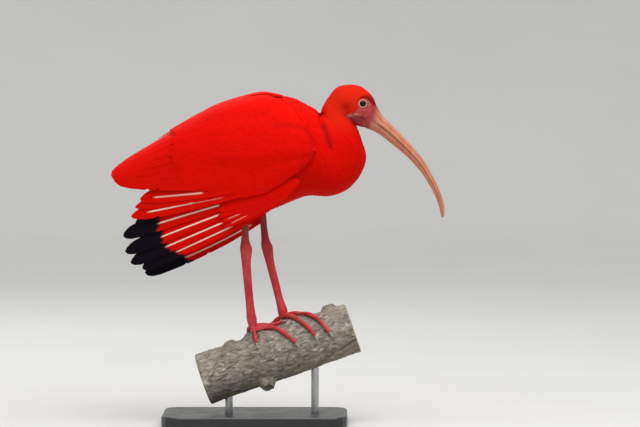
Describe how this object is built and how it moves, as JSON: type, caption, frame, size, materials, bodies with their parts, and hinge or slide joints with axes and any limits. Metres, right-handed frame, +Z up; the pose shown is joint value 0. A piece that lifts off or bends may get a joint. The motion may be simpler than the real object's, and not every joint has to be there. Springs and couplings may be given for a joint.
{
  "type": "scarlet ibis display model",
  "caption": "Life-size wading bird with folded wings and a long down-curved bill, gripping a cut branch on a flat display stand.",
  "frame": {"origin": "middle of the stand's underside, on the floor", "axes": "+X the way the bird faces, +Y its left side, +Z up"},
  "size_m": [0.4319, 0.156, 0.4406],
  "materials": {
    "feathers": "soft scarlet feathers",
    "bill": "horny bill, satin, pinkish tan",
    "legs": "scaly bare skin, coral red",
    "eye": "dark, wet and shiny",
    "claw": "horn, satin",
    "bark": "rough grey-brown bark",
    "stand_base": "black satin lacquer",
    "stand_rod": "brushed"
  },
  "bodies": {
    "root": {"bill_lower": "bill", "bill_upper": "bill", "claw_left_hallux": "claw", "claw_left_inner": "claw", "claw_left_middle": "claw", "claw_left_outer": "claw", "claw_right_hallux": "claw", "claw_right_inner": "claw", "claw_right_middle": "claw", "claw_right_outer": "claw", "eye_left": "eye", "eye_right": "eye", "foot_left": "legs", "foot_right": "legs", "head": "feathers", "leg_left": "legs", "leg_right": "legs", "neck": "feathers", "perch_branch": "bark", "primaries_left": "feathers", "primaries_right": "feathers", "stand_base": "stand_base", "stand_rod_1": "stand_rod", "stand_rod_2": "stand_rod", "tail": "feathers", "thigh_left": "feathers", "thigh_right": "feathers", "torso": "feathers", "wing_left": "feathers", "wing_right": "feathers"}
  },
  "joints": []
}
